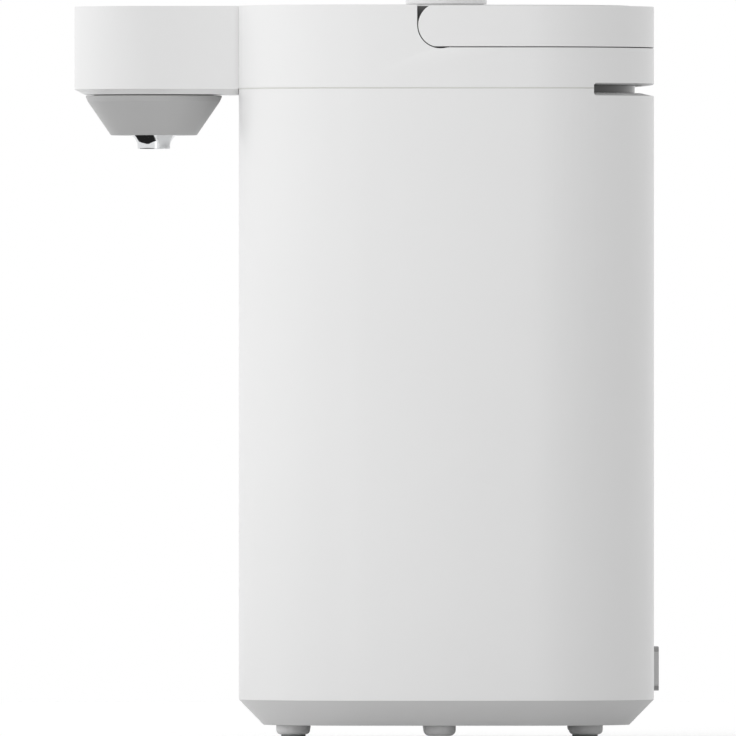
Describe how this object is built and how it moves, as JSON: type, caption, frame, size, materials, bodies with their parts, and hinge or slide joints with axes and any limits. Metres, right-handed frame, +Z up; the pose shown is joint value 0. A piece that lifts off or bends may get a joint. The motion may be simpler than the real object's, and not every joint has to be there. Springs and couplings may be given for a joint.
{
  "type": "electric thermo pot",
  "caption": "Electric thermo pot with a rounded square body, front dispensing beak and nozzle, hinged lid with lock button, and a carry bail folded flush round the rear.",
  "frame": {"origin": "centre of the bounding box at the floor, where the rubber pads stand", "axes": "+Z up, -X towards the front where the beak and nozzle are, +Y to the pot's right-hand side seen from behind"},
  "size_m": [0.2736, 0.194, 0.3464],
  "materials": {
    "white_casing": "satin",
    "grey_plastic": "fine matt grain",
    "dark_plastic": "matt",
    "dark_grey_plastic": "fine matt grain",
    "panel": "gloss",
    "rubber": "matt",
    "silicone": "satin",
    "polished_steel": "polished",
    "brushed_steel": "brushed",
    "felt": "felted",
    "cast_aluminium": "cast",
    "element_sheath": "matt",
    "fuse_ceramic": "matt",
    "circuit_board": "solder mask",
    "pump_plastic": "matt",
    "impeller_plastic": "matt",
    "winding": "taped",
    "relay_case": "gloss",
    "brass_contact": "plated"
  },
  "bodies": {
    "casing": {"outer_shell": "white_casing", "base_cover": "grey_plastic", "feet": "grey_plastic", "foot_pads": "rubber", "side_stubs": "grey_plastic", "top_housing": "white_casing", "vent_liner": "dark_plastic", "beak_cover": "white_casing", "touch_panel": "panel", "control_board": "circuit_board", "nozzle_cone": "grey_plastic", "nozzle_tip": "polished_steel", "outlet_hose": "silicone", "riser_tube": "brushed_steel", "inner_pot": "brushed_steel", "pot_gasket": "silicone", "insulating_jacket": "felt", "heater_plate": "cast_aluminium", "heater_element": "element_sheath", "thermostat": "dark_plastic", "thermal_fuse": "fuse_ceramic", "temperature_probe": "brushed_steel", "heat_shield": "brushed_steel", "suction_sleeve": "silicone", "pump_housing": "pump_plastic", "pump_motor": "brushed_steel", "power_board": "circuit_board", "transformer": "winding", "relay": "relay_case", "inlet_body": "grey_plastic", "inlet_rails": "dark_grey_plastic", "inlet_pins": "brass_contact", "handle_pins": "brushed_steel", "pivot_plates": "dark_plastic", "hinge_pin": "brushed_steel"},
    "handle": {"handle_bail": "white_casing"},
    "lid": {"lid_cover": "white_casing", "lid_base": "grey_plastic", "lid_plate": "brushed_steel", "lid_seal": "silicone", "steam_duct": "grey_plastic", "steam_cap": "grey_plastic", "button_spring": "brushed_steel"},
    "button": {"lid_button": "white_casing", "button_clip": "brushed_steel"},
    "bolt": {"lock_bolt": "pump_plastic"},
    "rotor": {"impeller": "impeller_plastic"}
  },
  "joints": [
    {"name": "handle_swing", "type": "hinge", "parent": "casing", "child": "handle", "pos_m": [0.03445, 0, 0.3333], "axis": [0, -1, 0], "range_deg": [0, 90]},
    {"name": "lid_hinge", "type": "hinge", "parent": "casing", "child": "lid", "pos_m": [0.11335, 0, 0.3369], "axis": [0, 1, 0], "range_deg": [0, 85]},
    {"name": "button_press", "type": "slide", "parent": "lid", "child": "button", "axis": [0, 0, -1], "range_m": [0, 0.003], "stiffness_N_per_m": 600, "springref_m": -0.0015, "deforming": ["button_spring"]},
    {"name": "bolt_slide", "type": "slide", "parent": "lid", "child": "bolt", "axis": [-1, 0, 0], "range_m": [0, 0.004]},
    {"name": "impeller_spin", "type": "hinge", "parent": "casing", "child": "rotor", "pos_m": [-0.01665, 0, 0.03], "axis": [0, 0, 1], "continuous": true}
  ],
  "couplings": [
    {"joint": "bolt_slide", "follows": "button_press", "ratio": 1.3333}
  ]
}
